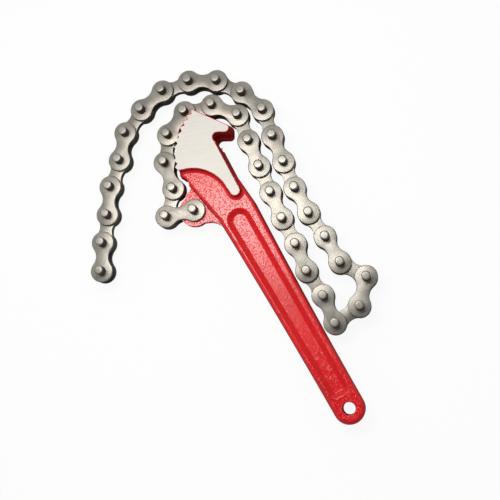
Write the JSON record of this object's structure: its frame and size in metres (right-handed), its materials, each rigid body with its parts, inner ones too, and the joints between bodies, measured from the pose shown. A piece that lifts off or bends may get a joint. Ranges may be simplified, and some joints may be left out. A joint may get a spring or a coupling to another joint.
{
  "type": "chain oil filter wrench",
  "caption": "Chain wrench for oil filters: a forged grip with a toothed, slotted hook head, and a laced link chain pinned to its ear that wraps round the filter and hooks back.",
  "frame": {"origin": "centre of the hang hole, in the tool's mid-plane", "axes": "+X runs along the grip from the hang hole to the head, +Y points to the side of the ear that carries the chain, +Z is normal to the ground face, along the chain's pins"},
  "size_m": [0.2614, 0.1636, 0.0254],
  "materials": {
    "painted_forging": "glossy red paint on forged steel, with the head's faces ground bare",
    "chain_plates": "satin nickel-grey steel plates",
    "chain_pins": "satin steel pins with lightly worn ends"
  },
  "bodies": {
    "handle": {"forged_handle": "painted_forging"},
    "outer_link_01": {"outer_plates_01": "chain_plates", "link_pins_01": "chain_pins", "anchor_pin": "chain_pins"},
    "inner_link_01": {"inner_plate_01": "chain_plates"},
    "outer_link_02": {"outer_plates_02": "chain_plates", "link_pins_02": "chain_pins"},
    "inner_link_02": {"inner_plate_02": "chain_plates"},
    "outer_link_03": {"outer_plates_03": "chain_plates", "link_pins_03": "chain_pins"},
    "inner_link_03": {"inner_plate_03": "chain_plates"},
    "outer_link_04": {"outer_plates_04": "chain_plates", "link_pins_04": "chain_pins"},
    "inner_link_04": {"inner_plate_04": "chain_plates"},
    "outer_link_05": {"outer_plates_05": "chain_plates", "link_pins_05": "chain_pins"},
    "inner_link_05": {"inner_plate_05": "chain_plates"},
    "outer_link_06": {"outer_plates_06": "chain_plates", "link_pins_06": "chain_pins"},
    "inner_link_06": {"inner_plate_06": "chain_plates"},
    "outer_link_07": {"outer_plates_07": "chain_plates", "link_pins_07": "chain_pins"},
    "inner_link_07": {"inner_plate_07": "chain_plates"},
    "outer_link_08": {"outer_plates_08": "chain_plates", "link_pins_08": "chain_pins"},
    "inner_link_08": {"inner_plate_08": "chain_plates"},
    "outer_link_09": {"outer_plates_09": "chain_plates", "link_pins_09": "chain_pins"},
    "inner_link_09": {"inner_plate_09": "chain_plates"},
    "outer_link_10": {"outer_plates_10": "chain_plates", "link_pins_10": "chain_pins"},
    "inner_link_10": {"inner_plate_10": "chain_plates"},
    "outer_link_11": {"outer_plates_11": "chain_plates", "link_pins_11": "chain_pins"},
    "inner_link_11": {"inner_plate_11": "chain_plates"},
    "outer_link_12": {"outer_plates_12": "chain_plates", "link_pins_12": "chain_pins"},
    "inner_link_12": {"inner_plate_12": "chain_plates"},
    "outer_link_13": {"outer_plates_13": "chain_plates", "link_pins_13": "chain_pins"},
    "inner_link_13": {"inner_plate_13": "chain_plates"},
    "outer_link_14": {"outer_plates_14": "chain_plates", "link_pins_14": "chain_pins"},
    "inner_link_14": {"inner_plate_14": "chain_plates"},
    "outer_link_15": {"outer_plates_15": "chain_plates", "link_pins_15": "chain_pins"},
    "inner_link_15": {"inner_plate_15": "chain_plates"},
    "outer_link_16": {"outer_plates_16": "chain_plates", "link_pins_16": "chain_pins"},
    "inner_link_16": {"inner_plate_16": "chain_plates"},
    "outer_link_17": {"outer_plates_17": "chain_plates", "link_pins_17": "chain_pins"},
    "inner_link_17": {"inner_plate_17": "chain_plates"},
    "outer_link_18": {"outer_plates_18": "chain_plates", "link_pins_18": "chain_pins"}
  },
  "joints": [
    {"name": "chain_hinge_01", "type": "hinge", "parent": "handle", "child": "outer_link_01", "pos_m": [0.1611, 0.0243, 0], "axis": [0, 0, -1], "range_deg": [-2, 0]},
    {"name": "chain_hinge_02", "type": "hinge", "parent": "outer_link_01", "child": "inner_link_01", "pos_m": [0.16699, 0.04242, 0], "axis": [0, 0, -1], "range_deg": [-2.4, 0]},
    {"name": "chain_hinge_03", "type": "hinge", "parent": "inner_link_01", "child": "outer_link_02", "pos_m": [0.18092, 0.02943, 0], "axis": [0, 0, -1], "range_deg": [-3.8, 0]},
    {"name": "chain_hinge_04", "type": "hinge", "parent": "outer_link_02", "child": "inner_link_02", "pos_m": [0.19965, 0.02595, 0], "axis": [0, 0, -1], "range_deg": [-6.5, 0]},
    {"name": "chain_hinge_05", "type": "hinge", "parent": "inner_link_02", "child": "outer_link_03", "pos_m": [0.21516, 0.01489, 0], "axis": [0, 0, -1], "range_deg": [-26, 0]},
    {"name": "chain_hinge_06", "type": "hinge", "parent": "outer_link_03", "child": "inner_link_03", "pos_m": [0.22306, -0.00244, 0], "axis": [0, 0, -1], "range_deg": [-22, 0]},
    {"name": "chain_hinge_07", "type": "hinge", "parent": "inner_link_03", "child": "outer_link_04", "pos_m": [0.21733, -0.02061, 0], "axis": [0, 0, -1], "range_deg": [-18, 0]},
    {"name": "chain_hinge_08", "type": "hinge", "parent": "outer_link_04", "child": "inner_link_04", "pos_m": [0.20212, -0.03208, 0], "axis": [0, 0, -1], "range_deg": [-4.5, 0]},
    {"name": "chain_hinge_09", "type": "hinge", "parent": "inner_link_04", "child": "outer_link_05", "pos_m": [0.18321, -0.02975, 0], "axis": [0, 0, -1], "range_deg": [-2.8, 0]},
    {"name": "chain_hinge_10", "type": "hinge", "parent": "outer_link_05", "child": "inner_link_05", "pos_m": [0.1643, -0.02743, 0], "axis": [0, 0, -1], "range_deg": [-2, 0]},
    {"name": "chain_hinge_11", "type": "hinge", "parent": "inner_link_05", "child": "outer_link_06", "pos_m": [0.14537, -0.02528, 0], "axis": [0, 0, -1], "range_deg": [-1.3, 0]},
    {"name": "chain_hinge_12", "type": "hinge", "parent": "outer_link_06", "child": "inner_link_06", "pos_m": [0.12643, -0.02329, 0], "axis": [0, 0, -1], "range_deg": [-0.9, 0]},
    {"name": "chain_hinge_13", "type": "hinge", "parent": "inner_link_06", "child": "outer_link_07", "pos_m": [0.1074, -0.02245, 0], "axis": [0, 0, 1], "range_deg": [-0.6, 0]},
    {"name": "chain_hinge_14", "type": "hinge", "parent": "outer_link_07", "child": "inner_link_07", "pos_m": [0.08851, -0.01997, 0], "axis": [0, 0, 1], "range_deg": [-1, 0]},
    {"name": "chain_hinge_15", "type": "hinge", "parent": "inner_link_07", "child": "outer_link_08", "pos_m": [0.06949, -0.02113, 0], "axis": [0, 0, 1], "range_deg": [-2.1, 0]},
    {"name": "chain_hinge_16", "type": "hinge", "parent": "outer_link_08", "child": "inner_link_08", "pos_m": [0.05057, -0.01897, 0], "axis": [0, 0, 1], "range_deg": [-7.5, 0]},
    {"name": "chain_hinge_17", "type": "hinge", "parent": "inner_link_08", "child": "outer_link_09", "pos_m": [0.05239, -0.03794, 0], "axis": [0, 0, 1], "range_deg": [-12.5, 0]},
    {"name": "chain_hinge_18", "type": "hinge", "parent": "outer_link_09", "child": "inner_link_09", "pos_m": [0.06632, -0.05093, 0], "axis": [0, 0, 1], "range_deg": [-19, 0]},
    {"name": "chain_hinge_19", "type": "hinge", "parent": "inner_link_09", "child": "outer_link_10", "pos_m": [0.08274, -0.04126, 0], "axis": [0, 0, 1], "range_deg": [-22, 0]},
    {"name": "chain_hinge_20", "type": "hinge", "parent": "outer_link_10", "child": "inner_link_10", "pos_m": [0.10179, -0.04126, 0], "axis": [0, 0, 1], "range_deg": [-50, 0]},
    {"name": "chain_hinge_21", "type": "hinge", "parent": "inner_link_10", "child": "outer_link_11", "pos_m": [0.12079, -0.03993, 0], "axis": [0, 0, 1], "range_deg": [-44, 0]},
    {"name": "chain_hinge_22", "type": "hinge", "parent": "outer_link_11", "child": "inner_link_11", "pos_m": [0.13984, -0.04026, 0], "axis": [0, 0, 1], "range_deg": [-32, 0]},
    {"name": "chain_hinge_23", "type": "hinge", "parent": "inner_link_11", "child": "outer_link_12", "pos_m": [0.15875, -0.04258, 0], "axis": [0, 0, 1], "range_deg": [-32, 0]},
    {"name": "chain_hinge_24", "type": "hinge", "parent": "outer_link_12", "child": "inner_link_12", "pos_m": [0.17766, -0.04491, 0], "axis": [0, 0, 1], "range_deg": [-32, 0]},
    {"name": "chain_hinge_25", "type": "hinge", "parent": "inner_link_12", "child": "outer_link_13", "pos_m": [0.19644, -0.04805, 0], "axis": [0, 0, 1], "range_deg": [-32, 0.5]},
    {"name": "chain_hinge_26", "type": "hinge", "parent": "outer_link_13", "child": "inner_link_13", "pos_m": [0.21451, -0.04201, 0], "axis": [0, 0, 1], "range_deg": [-32, 0.5]},
    {"name": "chain_hinge_27", "type": "hinge", "parent": "inner_link_13", "child": "outer_link_14", "pos_m": [0.23039, -0.03149, 0], "axis": [0, 0, 1], "range_deg": [-32, 1.5]},
    {"name": "chain_hinge_28", "type": "hinge", "parent": "outer_link_14", "child": "inner_link_14", "pos_m": [0.24021, -0.01516, 0], "axis": [0, 0, 1], "range_deg": [-32, 2]},
    {"name": "chain_hinge_29", "type": "hinge", "parent": "inner_link_14", "child": "outer_link_15", "pos_m": [0.24384, 0.00354, 0], "axis": [0, 0, 1], "range_deg": [-34, 2]},
    {"name": "chain_hinge_30", "type": "hinge", "parent": "outer_link_15", "child": "inner_link_15", "pos_m": [0.23988, 0.02217, 0], "axis": [0, 0, 1], "range_deg": [-39, 2.5]},
    {"name": "chain_hinge_31", "type": "hinge", "parent": "inner_link_15", "child": "outer_link_16", "pos_m": [0.23183, 0.03944, 0], "axis": [0, 0, 1], "range_deg": [-70, 3.5]},
    {"name": "chain_hinge_32", "type": "hinge", "parent": "outer_link_16", "child": "inner_link_16", "pos_m": [0.21724, 0.05168, 0], "axis": [0, 0, 1], "range_deg": [-70, 5]},
    {"name": "chain_hinge_33", "type": "hinge", "parent": "inner_link_16", "child": "outer_link_17", "pos_m": [0.20449, 0.06584, 0], "axis": [0, 0, 1], "range_deg": [-56, 7.5]},
    {"name": "chain_hinge_34", "type": "hinge", "parent": "outer_link_17", "child": "inner_link_17", "pos_m": [0.1887, 0.07649, 0], "axis": [0, 0, 1], "range_deg": [-80, 26]},
    {"name": "chain_hinge_35", "type": "hinge", "parent": "inner_link_17", "child": "outer_link_18", "pos_m": [0.17369, 0.08822, 0], "axis": [0, 0, 1], "range_deg": [-115, 56]}
  ]
}
